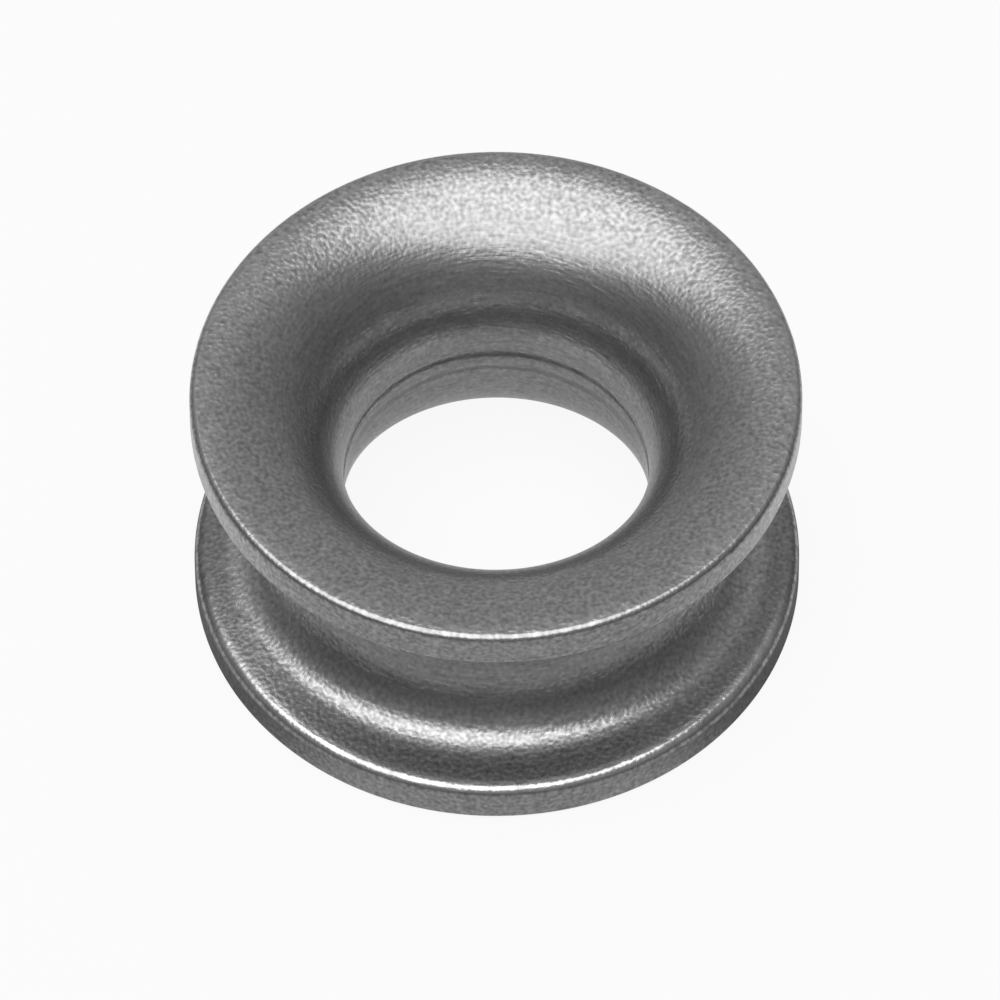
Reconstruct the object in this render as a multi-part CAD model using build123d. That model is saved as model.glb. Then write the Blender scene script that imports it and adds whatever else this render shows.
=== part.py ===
from build123d import *
import math
import os

# Rope fairlead eye: one ring turned from aluminium bar and hard anodised.
# A line runs through the flared eye in the middle, and a lashing or a spliced strop lies
# in the rounded groove round the outside and holds the ring.
# The origin is the middle of the eye, +Z is the way the line leaves it, and sizes are in mm.

# Ring
outer_diameter = 40.0
ring_height = 20.0

# Eye: the narrowest place is a fine band that stands proud where the two flares, each
# turned from its own side, stop short of each other
eye_diameter = 20.0
band_height = 1.5
band_proud = 0.05
straight_beside_band = 0.7

# Faces and rims
flat_width = 0.25
outer_edge_radius = 0.5
rim_height = 2.85
groove_edge_radius = 0.8

# Lashing groove: a wide round bottom between two flanks that open a little outwards. The
# wall is what is left between the eye and its bottom, and the shares are of its depth
throat_wall = 3.25
flank_slope = 9.0
flank_share = 0.53
corner_share = 0.52

outer_radius = outer_diameter / 2
half_height = ring_height / 2
eye_radius = eye_diameter / 2
flare_foot_radius = eye_radius + band_proud
flare_foot_height = band_height / 2 + straight_beside_band
crest_radius = outer_radius - outer_edge_radius - flat_width

groove_half_width = half_height - rim_height
groove_floor_radius = eye_radius + throat_wall
groove_depth = outer_radius - groove_floor_radius
groove_corner_radius = groove_depth * corner_share
flank_foot_radius = outer_radius - groove_depth * flank_share
flank_foot_height = groove_half_width - groove_depth * flank_share * math.tan(math.radians(flank_slope))


def corners_at(section, radius):
    """Corners of the section at one radius, from the middle of its height outwards."""
    corners = section.vertices().filter_by_position(Axis.X, radius - 0.001, radius + 0.001)
    return corners.sort_by(lambda corner: abs(corner.Y))


def ring_section():
    """Half of the ring cut through its axis, with X as the radius and Y as the height."""
    with BuildSketch(Plane.XZ) as section:
        with BuildLine():
            # Middle of the eye, up the band and over its small step
            band = Line((eye_radius, 0), (eye_radius, band_height / 2))
            step = Line(band @ 1, (flare_foot_radius, band_height / 2))
            straight = Line(step @ 1, (flare_foot_radius, flare_foot_height))

            # The flare leaves the eye upright and lies down flat at its crest: a quarter
            # of an ellipse
            flare = EllipticalCenterArc(
                (crest_radius, flare_foot_height),
                crest_radius - flare_foot_radius,
                half_height - flare_foot_height,
                start_angle=180,
                arc_size=-90,
            )

            # Narrow flat face, down the rim, and in along the flank of the groove
            face = Line(flare @ 1, (outer_radius, half_height))
            rim = Line(face @ 1, (outer_radius, groove_half_width))
            flank = Line(rim @ 1, (flank_foot_radius, flank_foot_height))
            mirror(about=Plane.XZ)

            # One arc makes the bottom, from flank to flank through its lowest point
            ThreePointArc(flank @ 1, (groove_floor_radius, 0), (flank_foot_radius, -flank_foot_height))
        make_face()

        # Bottom and flanks blend into each other, and the rims are rounded where the
        # lashing bears on them and eased at the faces
        fillet(corners_at(section, flank_foot_radius), groove_corner_radius)
        fillet(corners_at(section, outer_radius)[:2], groove_edge_radius)
        fillet(corners_at(section, outer_radius)[-2:], outer_edge_radius)
    return section.sketch


def fairlead_ring():
    """The whole ring: its section turned once round the eye."""
    return revolve(ring_section(), Axis.Z, 360)


os.makedirs("parts", exist_ok=True)
export_step(fairlead_ring(), "parts/fairlead_ring.step")
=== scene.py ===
# %% [markdown]
# # A turned rope fairlead eye
#
# The object is one ring, turned from aluminium bar and hard anodised. A line runs through
# the flared eye, and a lashing lies in the wide groove outside and holds the ring.
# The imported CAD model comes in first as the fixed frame: it says how big the ring is and
# where it sits, so nothing has to be fitted afterwards.

# %% Load the fixed frame
import math

import bmesh
import bpy
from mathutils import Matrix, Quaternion, Vector


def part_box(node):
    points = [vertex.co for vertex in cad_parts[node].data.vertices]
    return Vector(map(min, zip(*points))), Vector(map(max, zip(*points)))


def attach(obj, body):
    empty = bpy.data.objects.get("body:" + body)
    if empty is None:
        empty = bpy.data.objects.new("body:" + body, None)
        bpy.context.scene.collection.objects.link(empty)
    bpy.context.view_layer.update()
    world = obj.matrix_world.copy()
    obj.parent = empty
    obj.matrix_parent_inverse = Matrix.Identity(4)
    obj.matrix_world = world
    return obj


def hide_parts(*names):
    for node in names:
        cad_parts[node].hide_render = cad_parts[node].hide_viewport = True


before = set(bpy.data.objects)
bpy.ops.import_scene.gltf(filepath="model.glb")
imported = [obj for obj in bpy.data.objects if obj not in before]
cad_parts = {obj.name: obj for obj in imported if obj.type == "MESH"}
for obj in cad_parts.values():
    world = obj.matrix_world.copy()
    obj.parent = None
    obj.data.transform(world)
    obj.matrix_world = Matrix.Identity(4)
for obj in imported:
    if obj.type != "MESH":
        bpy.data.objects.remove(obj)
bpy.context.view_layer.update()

MM = 0.001
ring_low, ring_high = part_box("fairlead_ring")
print("CAD box in mm:", [round(side / MM, 3) for side in ring_high - ring_low])

# %% [markdown]
# ## Sizes
#
# The two overall sizes are read from the frame, so the ring always fills the CAD box.
# The others are the sizes that the turner sets: how wide the eye is, where its flares
# start, how thick the rims are and how far the groove goes in.

# %% Sizes of the ring
outer_radius = ring_high.x
half_height = ring_high.z
eye_radius = 10.0 * MM
band_half_height = 0.75 * MM
band_proud = 0.05 * MM
band_edge = 0.05 * MM
straight_beside_band = 0.7 * MM
flat_width = 0.25 * MM
face_edge_radius = 0.5 * MM
rim_height = 2.85 * MM
groove_edge_radius = 0.8 * MM
throat_wall = 3.25 * MM
flank_slope = math.radians(9)
corner_radius = 3.5 * MM
bottom_radius = 8.4 * MM

foot_radius = eye_radius + band_proud
foot_height = band_half_height + straight_beside_band
crest_radius = outer_radius - face_edge_radius - flat_width
flare_width = crest_radius - foot_radius
flare_height = half_height - foot_height
print("flare in mm:", round(flare_width / MM, 3), "wide and", round(flare_height / MM, 3), "high")

# %% [markdown]
# The groove has a wide round bottom and two straight flanks that open a little outwards,
# as a groove needs that a lashing drops into. Where bottom and flank meet, a corner arc
# joins them, and another one rounds the flank into the rim. Both have centres that can be
# worked out: each lies its own radius from the flank, and the inner one also touches the
# bottom's arc, so its distance to that centre is the difference of their radii.

# %% Arcs of the lashing groove
groove_floor_radius = eye_radius + throat_wall
bottom_centre = groove_floor_radius + bottom_radius
rim_corner = Vector((outer_radius, half_height - rim_height))
flank_way = Vector((math.cos(flank_slope), math.sin(flank_slope)))
flank_out = Vector((math.sin(flank_slope), -math.cos(flank_slope)))
edge_turn = math.pi / 2 - flank_slope
edge_length = groove_edge_radius * math.tan(edge_turn / 2)
edge_centre = Vector((outer_radius - groove_edge_radius, rim_corner.y + edge_length))
flank_top = rim_corner - flank_way * edge_length

from_bottom = Vector((bottom_centre, 0)) - (rim_corner + flank_out * corner_radius)
reach = math.sqrt((bottom_radius - corner_radius) ** 2 - from_bottom.dot(flank_out) ** 2)
corner_centre = rim_corner + flank_out * corner_radius - flank_way * (reach - from_bottom.dot(flank_way))
flank_foot = corner_centre - flank_out * corner_radius
bottom_turn = math.atan2(corner_centre.y, bottom_centre - corner_centre.x)
corner_turn = edge_turn - bottom_turn
print("flank from", [round(c / MM, 3) for c in flank_top], "to", [round(c / MM, 3) for c in flank_foot])
print("bottom arc in degrees:", round(math.degrees(bottom_turn), 2))

# %% [markdown]
# ## Drawing the section
#
# A turned part is one outline swept round an axis, so only the outline has to be drawn.
# It starts as one point in the middle of the eye. Each straight stretch is an extrude and
# each rounded one is a spin of the last point about the centre of its arc, as the tool
# would swing. Only the upper half is drawn, because the lower one is its mirror image.

# %% A pen made of one vertex
def start_pen(name, place):
    """Adds an object that is one selected vertex at a place, and leaves it in edit mode."""
    bpy.ops.object.select_all(action="DESELECT")
    bpy.ops.mesh.primitive_plane_add(size=MM, location=(0, 0, 0))
    drawing = bpy.context.object
    drawing.name = name
    bpy.ops.object.mode_set(mode="EDIT")
    bpy.ops.mesh.select_mode(type="VERT")
    bpy.ops.mesh.select_all(action="SELECT")
    bpy.ops.mesh.merge(type="CENTER")
    bpy.ops.transform.translate(value=place)
    return drawing


def pen():
    """The place of the selected vertex, which is the end of the line so far."""
    mesh = bmesh.from_edit_mesh(bpy.context.object.data)
    return next(corner.co.copy() for corner in mesh.verts if corner.select)


def line_to(x, z):
    """Extrudes the end of the line to a new place."""
    move = Vector((x, 0, z)) - pen()
    bpy.ops.mesh.extrude_vertices_move(TRANSFORM_OT_translate={"value": move})


def arc_about(x, z, angle, steps):
    """Spins the end of the line about a centre, clockwise as seen from the front."""
    bpy.ops.mesh.spin(steps=steps, angle=angle, center=(x, 0, z), axis=(0, -1, 0))


def select_points(belongs):
    """Selects the points of the drawing whose place passes a test, and no others."""
    mesh = bmesh.from_edit_mesh(bpy.context.object.data)
    for point in mesh.verts:
        point.select = belongs(point.co)
    mesh.select_flush_mode()
    bmesh.update_edit_mesh(bpy.context.object.data)


# %% [markdown]
# The eye's narrowest place is a fine band in its middle, which the two flares leave standing
# because each is turned from its own side. The drawing starts there, on the mirror plane.

# %% The eye: half the band, its small step, and the straight foot of the flare
ring = start_pen("turned_ring", (eye_radius, 0, 0))
line_to(eye_radius, band_half_height - band_edge)
line_to(foot_radius, band_half_height)
line_to(foot_radius, foot_height)

# %% [markdown]
# The flare is a quarter of an ellipse: it leaves the foot upright and lies down flat at its
# crest. The spin only draws circles, so it is drawn as one and then squeezed in height.
# Its centre and its lower end both lie at the foot's height and stay where they are.

# %% The flare
arc_about(crest_radius, foot_height, math.pi / 2, 44)
select_points(lambda place: place.z > foot_height + 0.001 * MM)
bpy.ops.transform.resize(
    value=(1, 1, flare_height / flare_width), center_override=(crest_radius, 0, foot_height)
)
select_points(lambda place: place.x > crest_radius - 0.001 * MM)
print("crest in mm:", [round(c / MM, 3) for c in pen()])

# %% [markdown]
# From the crest a narrow flat face leads to the rim. Its outer edge is eased, and its edge
# to the groove is rounded more, because the lashing bears on it. Then the line goes in along
# the flank, round the corner, and along the groove's bottom to the mirror plane.

# %% The rim: the flat face, the eased edge, and down to the groove
line_to(outer_radius - face_edge_radius, half_height)
arc_about(outer_radius - face_edge_radius, half_height - face_edge_radius, math.pi / 2, 10)
line_to(outer_radius, edge_centre.y)
arc_about(edge_centre.x, edge_centre.y, edge_turn, 14)
line_to(*flank_foot)
arc_about(corner_centre.x, corner_centre.y, -corner_turn, 14)
arc_about(bottom_centre, 0, -bottom_turn, 24)
print("groove's lowest point in mm:", [round(c / MM, 3) for c in pen()])

# %% [markdown]
# ## Turning the ring
#
# The half section is mirrored downwards, and the whole section is spun once round the
# eye. A full turn lays its last copy on the first, so doubles are merged, and the
# faces are made to point outwards, because a spin can leave them inside out.

# %% Mirror, spin and close
turning_steps = 288
bpy.ops.object.mode_set(mode="OBJECT")
mirror = ring.modifiers.new("lower half", "MIRROR")
mirror.use_axis = (False, False, True)
mirror.use_clip = True
mirror.merge_threshold = 0.001 * MM
bpy.ops.object.modifier_apply(modifier=mirror.name)

bpy.ops.object.mode_set(mode="EDIT")
bpy.ops.mesh.select_all(action="SELECT")
bpy.ops.mesh.spin(steps=turning_steps, angle=2 * math.pi, center=(0, 0, 0), axis=(0, 0, 1))
bpy.ops.mesh.select_all(action="SELECT")
bpy.ops.mesh.remove_doubles(threshold=0.001 * MM)
bpy.ops.mesh.normals_make_consistent(inside=False)
bpy.ops.object.mode_set(mode="OBJECT")
bpy.ops.object.shade_smooth()
print("faces:", len(ring.data.polygons))

# %% [markdown]
# ## Writing shader maths as expressions
#
# A finish is a sum of small effects, which reads best as ordinary arithmetic. The class
# below wraps one socket of a node, so that adding or multiplying two of them adds the
# Math node that does it. Every other node comes from one method.

# %% Shader arithmetic
class Signal:
    """A number that flows from a socket, and can be used in Python arithmetic."""

    def __init__(self, tree, socket):
        self.tree = tree
        self.socket = socket

    def math(self, operation, *others):
        """The result of one Math node, with this signal as its first input."""
        values = dict(enumerate((self, *others)))
        return node(self.tree, "ShaderNodeMath", {"operation": operation}, values)

    def __add__(self, other):
        return self.math("ADD", other)

    def __mul__(self, other):
        return self.math("MULTIPLY", other)

    def __sub__(self, other):
        return self.math("SUBTRACT", other)

    def __rsub__(self, other):
        return (self * -1) + other

    def __truediv__(self, other):
        return self.math("DIVIDE", other)

    __radd__ = __add__
    __rmul__ = __mul__


def node(tree, kind, settings=None, inputs=None, output=0):
    """Adds a node with its settings and inputs, and returns one of its outputs as a signal."""
    made = tree.nodes.new(kind)
    for name, value in (settings or {}).items():
        setattr(made, name, value)
    for name, value in (inputs or {}).items():
        if isinstance(value, Signal):
            tree.links.new(value.socket, made.inputs[name])
        else:
            made.inputs[name].default_value = value
    return Signal(tree, made.outputs[output])


def soft_step(signal, start, end):
    """0 before the start, 1 past the end, and a smooth slope between them."""
    return node(signal.tree, "ShaderNodeMapRange", {"interpolation_type": "SMOOTHSTEP"},
                {0: signal, 1: start, 2: end})


def point_and_axes(tree):
    """The point that is shaded, in the object's own metres, and its x, y and z one by one."""
    place = node(tree, "ShaderNodeTexCoord", output="Object")
    axes = node(tree, "ShaderNodeSeparateXYZ", None, {0: place}).socket.node.outputs
    return place, [Signal(tree, axis) for axis in axes]


def new_material(name):
    """A material whose tree holds only its output, and a principled shader joined to it."""
    material = bpy.data.materials.new(name)
    material.use_nodes = True
    tree = material.node_tree
    tree.nodes.clear()
    output = tree.nodes.new("ShaderNodeOutputMaterial")
    shader = tree.nodes.new("ShaderNodeBsdfPrincipled")
    tree.links.new(shader.outputs[0], output.inputs["Surface"])
    return material, tree, shader


# %% [markdown]
# ## Hard-anodised aluminium
#
# Hard anodising grows a thick grey oxide skin on the metal. The ring is blasted before it,
# so the skin has a fine grain that sparkles, and through the grain the last marks of the
# turning tool still run round the ring. Both are far finer than the mesh, so they are made
# as bump and as a slight change of grey. They are placed by radius and height, which every
# turned part has.

# %% Radius and height at each point of the finish
def turned_places(tree):
    """The point itself, and its direction round the ring, radius and height, in metres."""
    place, (x, y, z) = point_and_axes(tree)
    radius = (x * x + y * y).math("SQRT")
    return place, (x / radius, y / radius), radius, z


def noise(tree, place, scale, detail=2.0, **sockets):
    """Even noise from 0 to 1, with its middle near one half."""
    dimensions = "4D" if "W" in sockets else "3D"
    return node(tree, "ShaderNodeTexNoise", {"noise_dimensions": dimensions},
                {"Vector": place, "Scale": scale, "Detail": detail, **sockets})


# %% [markdown]
# The grain is the same in every direction, and each of its dimples is about a third of a
# millimetre wide. A tool mark is long round the ring and fine across it, so its noise is
# read from the direction round the ring, which changes slowly, and from the radius and
# height, which change fast.

# %% Grain and tool marks
grain_size = 0.29 * MM
grain_detail = 0.5
mark_width = 0.21 * MM
mark_detail = 1.0
marks_round_ring = 9.0


def grain_and_marks(tree, place, around, radius, height):
    """Two reliefs from 0 to 1: the blasted grain, and the marks of the turning tool."""
    grain = noise(tree, place, 1 / grain_size, detail=grain_detail)
    way_round = [direction * marks_round_ring for direction in around]
    cut = node(tree, "ShaderNodeCombineXYZ", None,
               {0: way_round[0], 1: way_round[1], 2: height / mark_width})
    marks = noise(tree, cut, 1.0, detail=mark_detail, W=radius / mark_width)
    return grain, marks


# %% [markdown]
# The oxide wears thin where a lashing or a deck rubs, on the edges of the groove and of the
# faces, and there the metal shows through, paler and smoother. On the groove's edges the pale
# grey is partly a painted highlight as well: it is kept in front and behind, where these edges
# catch the softbox, and is nearly left out on the left and right. Each pair of numbers is where
# an effect starts and where it is full, as a radius or as a height above or below the middle.

# %% Wear and painted highlight along the edges
groove_edge_radii = (18.95 * MM, 19.35 * MM)
groove_edge_heights = (7.22 * MM, 7.45 * MM)
highlight_directions = (0.10, 0.55)
face_edge_radii = (19.50 * MM, 19.58 * MM)
face_edge_heights = (9.80 * MM, 9.90 * MM)
face_edge_wear = 0.3
wear_patch_scale = 900.0
wear_patch_levels = (0.30, 0.60)


def edge_wear_and_highlight(tree, place, around, radius, height):
    """1 where the edges are worn bright or carry a painted highlight, 0 where the skin is whole."""
    from_middle = height.math("ABSOLUTE")
    groove_edge = soft_step(radius, *groove_edge_radii) * (1 - soft_step(from_middle, *groove_edge_heights))
    # The groove's edges are paler in front and behind only: partly wear, partly a painted highlight where
    # they catch the softbox
    highlit_side = soft_step(around[1].math("ABSOLUTE"), *highlight_directions)
    face_edge = soft_step(radius, *face_edge_radii) * soft_step(from_middle, *face_edge_heights)
    patches = soft_step(noise(tree, place, wear_patch_scale), *wear_patch_levels)
    return (groove_edge * highlit_side + face_edge * face_edge_wear) * (patches * 0.5 + 0.5)


# %% [markdown]
# The groove's grey holds painted light and shade. The corners between the groove's bottom
# and its flanks, where the softbox's mirror image lies, get a painted highlight and are paler
# than the rest. A faint band on the bottom is a painted reflection, and the rest of the groove
# is painted darker than the flares, as painted shade in the recess.

# %% Painted light and shade in the groove
groove_radii = (12.8 * MM, 13.0 * MM)
groove_heights = (7.2 * MM, 7.6 * MM)
groove_painted_shade = 0.19
corner_heights = (4.5 * MM, 6.0 * MM)
corner_radii = (17.2 * MM, 18.4 * MM)
corner_painted_highlight = 0.56
painted_band_inner_heights = (1.9 * MM, 2.5 * MM)
painted_band_outer_heights = (3.6 * MM, 4.2 * MM)
band_painted_reflection = 0.08


def groove_painted_light(radius, height):
    """The groove's painted shade, painted highlight and painted reflection, as a factor on the grey."""
    from_middle = height.math("ABSOLUTE")
    # Painted shade darkens the whole groove, a painted highlight makes its corners paler, and a painted
    # reflection makes a faint band on its bottom
    in_groove = soft_step(radius, *groove_radii) * (1 - soft_step(from_middle, *groove_heights))
    corner = soft_step(from_middle, *corner_heights) * (1 - soft_step(radius, *corner_radii))
    painted_band = soft_step(from_middle, *painted_band_inner_heights) * (1 - soft_step(from_middle, *painted_band_outer_heights))
    return in_groove * (corner * corner_painted_highlight + painted_band * band_painted_reflection - groove_painted_shade) + 1


# %% [markdown]
# The skin is nearly a metal: most of its look is a blurred mirror image, and a small share
# is the dull grey of the oxide. Blasting reaches least down in the eye and in the groove,
# so the tool marks are clearest there, in the relief and in the grey.

# %% The anodised finish
skin_grey = 0.315
worn_and_highlit_grey = 0.62
metal_share = 0.87
fleck_contrast = 0.40
blasted_radii = (13.5 * MM, 16.5 * MM)
cloud_scale = 160.0
cloud_contrast = 0.04
skin_roughness = 0.29
grain_roughness = 0.10
worn_smoothness = 0.05
sheltered_radii = (12.0 * MM, 17.5 * MM)
relief_depth = 0.022 * MM


def anodised_finish():
    """Grey satin oxide with its grain, its tool marks and its wear, and with painted light and shade in the
    groove.
    """
    material, tree, shader = new_material("anodised_aluminium")
    place, around, radius, height = turned_places(tree)
    grain, marks = grain_and_marks(tree, place, around, radius, height)
    wear_and_highlight = edge_wear_and_highlight(tree, place, around, radius, height)

    # The grain's dimples are a little paler, and so are the tool marks down in the eye,
    # where they half take the grain's place. Broad cloudy patches come from the bath
    blasted = soft_step(radius, *blasted_radii) * 0.5 + 0.5
    flecks = (0.5 - marks - (grain - marks) * blasted) * fleck_contrast
    clouds = (noise(tree, place, cloud_scale) - 0.5) * cloud_contrast
    # The groove's grey is multiplied by its painted shade, painted highlight and painted reflection
    skin = (flecks + clouds + skin_grey) * groove_painted_light(radius, height)
    # Paler edges: wear, and on the groove's edges partly a painted highlight
    grey = skin + (worn_and_highlit_grey - skin) * wear_and_highlight
    colour = node(tree, "ShaderNodeCombineColor", None, {0: grey, 1: grey, 2: grey})
    roughness = skin_roughness + (grain - 0.5) * grain_roughness - wear_and_highlight * worn_smoothness

    # Relief of the grain, and of the marks where the ring's shape shelters them
    sheltered = 1 - soft_step(radius, *sheltered_radii)
    relief = grain * (1 - sheltered * 0.4) + marks * (0.25 + sheltered * 0.45)
    bump = node(tree, "ShaderNodeBump", None, {"Strength": 1.0, "Distance": relief_depth, "Height": relief})

    tree.links.new(colour.socket, shader.inputs["Base Color"])
    tree.links.new(roughness.socket, shader.inputs["Roughness"])
    tree.links.new(bump.socket, shader.inputs["Normal"])
    shader.inputs["Metallic"].default_value = metal_share
    return material


ring.data.materials.clear()
ring.data.materials.append(anodised_finish())
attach(ring, "root")
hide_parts("fairlead_ring")
print("finish:", ring.data.materials[0].name, "with", len(ring.data.materials[0].node_tree.nodes), "nodes")

# %% [markdown]
# ## Floor
#
# The ring lies on plain pale paper. Its paint keeps the ring's soft shadow, and a glow mixed
# into it makes it look white to the camera without more light on the object. The glow that
# polished metal mirrors holds painted light and painted shadow: it is brighter beside and
# behind the ring and to the left and right under the eye, and darkest close to the ring's foot.

# %% Floor
floor_size = 6.0
bpy.ops.object.select_all(action="DESELECT")
bpy.ops.mesh.primitive_plane_add(size=floor_size, location=(0, 0, ring_low.z))
floor = bpy.context.object
floor.name = "floor"
bpy.ops.object.transform_apply(location=True)
print("floor at", round(ring_low.z / MM, 3), "mm")

# %% Paper, as the camera sees it, and its painted light and shadow in reflections
paper_grey = 0.66
paper_roughness = 0.9
glow_share = 0.92
under_eye_radii = (12 * MM, 16 * MM)
eye_side_reach = (6 * MM, 9.5 * MM)
beside_start_radii = (22 * MM, 28 * MM)
beside_end_radii = (50 * MM, 90 * MM)
front_to_back = (-28 * MM, 4 * MM)
foot_radii = (21.5 * MM, 24.5 * MM)
foot_side_reach = (9 * MM, 18 * MM)


def painted_reflected_light(tree):
    """Painted light and painted shadow in the glow that polished surfaces mirror, by place round the ring.
    """
    x, y = point_and_axes(tree)[1][:2]
    radius = (x * x + y * y).math("SQRT")
    sideways = x.math("ABSOLUTE")
    under_eye = 1 - soft_step(radius, *under_eye_radii)
    # Painted light: the mirrored glow is brighter to the left and right under the eye
    painted_eye_light = soft_step(sideways, *eye_side_reach) * 0.40 + 0.60
    # Painted light beside and behind the ring
    beside_ring = soft_step(radius, *beside_start_radii) * (1 - soft_step(radius, *beside_end_radii))
    behind_front = soft_step(y, *front_to_back)
    # Painted shadow in reflections, close to the ring's foot
    foot_painted_shadow = (1 - soft_step(radius, *foot_radii)) * soft_step(sideways, *foot_side_reach)
    open_painted_light = (beside_ring * behind_front * 0.38 + 0.62) * (1 - foot_painted_shadow * 0.75)
    return open_painted_light + (painted_eye_light - open_painted_light) * under_eye


def white_floor():
    """Pale paper that keeps a soft shadow, looks white to the eye, and shows painted light and painted
    shadow in reflections.
    """
    material, tree, paper = new_material("floor_paper")
    paper.inputs["Base Color"].default_value = (paper_grey, paper_grey, paper_grey, 1)
    paper.inputs["Roughness"].default_value = paper_roughness
    rays = node(tree, "ShaderNodeLightPath").socket.node.outputs
    seen = Signal(tree, rays["Is Camera Ray"])
    mirrored = Signal(tree, rays["Is Glossy Ray"]) + Signal(tree, rays["Is Transmission Ray"])
    # Glossy and transmission rays see the glow with its painted light and painted shadow
    brightness = seen + mirrored * painted_reflected_light(tree)
    white = node(tree, "ShaderNodeEmission", None, {"Color": (1, 1, 1, 1), "Strength": brightness})
    share = (seen + mirrored) * glow_share
    mixed = node(tree, "ShaderNodeMixShader", None, {0: share, 1: Signal(tree, paper.outputs[0]), 2: white})
    tree.links.new(mixed.socket, tree.nodes["Material Output"].inputs["Surface"])
    return material


floor.data.materials.append(white_floor())

# %% [markdown]
# ## Light
#
# One large round softbox hangs over the ring, a little to the left and in front, so its
# mirror image fills the back of the flare and the corner of the groove. A lamp is set by its
# power, but what a mirror image shows is the brightness of the cloth, so the power is worked
# out from that and from the cloth's area.

# %% Softbox
softbox_place = (-0.18, -0.20, 1.0)
softbox_width = 1.30
softbox_length = 1.42
softbox_brightness = 2.4

cloth = bpy.data.lights.new("overhead_softbox", "AREA")
cloth.shape = "ELLIPSE"
cloth.size = softbox_width
cloth.size_y = softbox_length
cloth_area = math.pi / 4 * softbox_width * softbox_length
cloth.energy = softbox_brightness * math.pi * cloth_area
softbox = bpy.data.objects.new("overhead_softbox", cloth)
bpy.context.scene.collection.objects.link(softbox)
softbox.location = softbox_place
print("softbox power in watts:", round(cloth.energy, 2))

# %% [markdown]
# The room round the softbox is dim, because metal looks like metal only when it has
# something dark to mirror as well. It is darkest low down at the sides, and paler overhead,
# in front and, most of all, on the wall behind the ring.

# %% The room
level_up = 0.7
dim_low = 0.06
dim_high = 0.20
front_and_back = 0.13
back_wall_low = 0.2
back_wall_high = 0.24


def studio_room():
    """A dim room: darkest at the walls on either side, paler in front, behind and overhead."""
    world = bpy.data.worlds.new("studio")
    world.use_nodes = True
    tree = world.node_tree
    tree.nodes.clear()
    direction = node(tree, "ShaderNodeTexCoord")
    axes = node(tree, "ShaderNodeSeparateXYZ", None, {0: direction}).socket.node.outputs
    forward, up = Signal(tree, axes[1]), Signal(tree, axes[2])
    height = node(tree, "ShaderNodeMapRange", None, {0: up, 1: 0.0, 2: level_up, 3: dim_low, 4: dim_high})
    behind = forward.math("MAXIMUM", 0.0)
    back_wall = behind.math("POWER", 3.0) * back_wall_low + behind * up * back_wall_high
    level = height + forward * forward * front_and_back + back_wall
    background = node(tree, "ShaderNodeBackground", None, {"Color": level, "Strength": 1.0})
    output = tree.nodes.new("ShaderNodeOutputWorld")
    tree.links.new(background.socket, output.inputs["Surface"])
    return world


bpy.context.scene.world = studio_room()

# %% [markdown]
# ## Camera
#
# The photograph was taken from far away with a long lens, which shows in the two rims being
# nearly the same size, and from well above the ring. The camera leans over by a third of a
# degree, and it aims a little below the ring's middle, as in the photograph.

# %% Camera
camera_height = math.radians(53.6)
camera_distance = 1.0
camera_roll = math.radians(0.35)
camera_aim = Vector((0.23, -0.92, -0.68)) * MM

camera_data = bpy.data.cameras.new("camera")
camera_data.sensor_width = 36.0
camera_data.lens = 547.6
camera_data.clip_start = 0.1
camera_data.clip_end = 20.0
camera = bpy.data.objects.new("camera", camera_data)
bpy.context.scene.collection.objects.link(camera)
camera.location = (0, -camera_distance * math.cos(camera_height), camera_distance * math.sin(camera_height))
look = (camera_aim - camera.location).to_track_quat("-Z", "Y")
camera.rotation_mode = "QUATERNION"
camera.rotation_quaternion = look @ Quaternion((0, 0, 1), -camera_roll)
bpy.context.scene.camera = camera
bpy.context.scene.view_settings.view_transform = "Standard"
print("camera at", [round(c, 3) for c in camera.location])
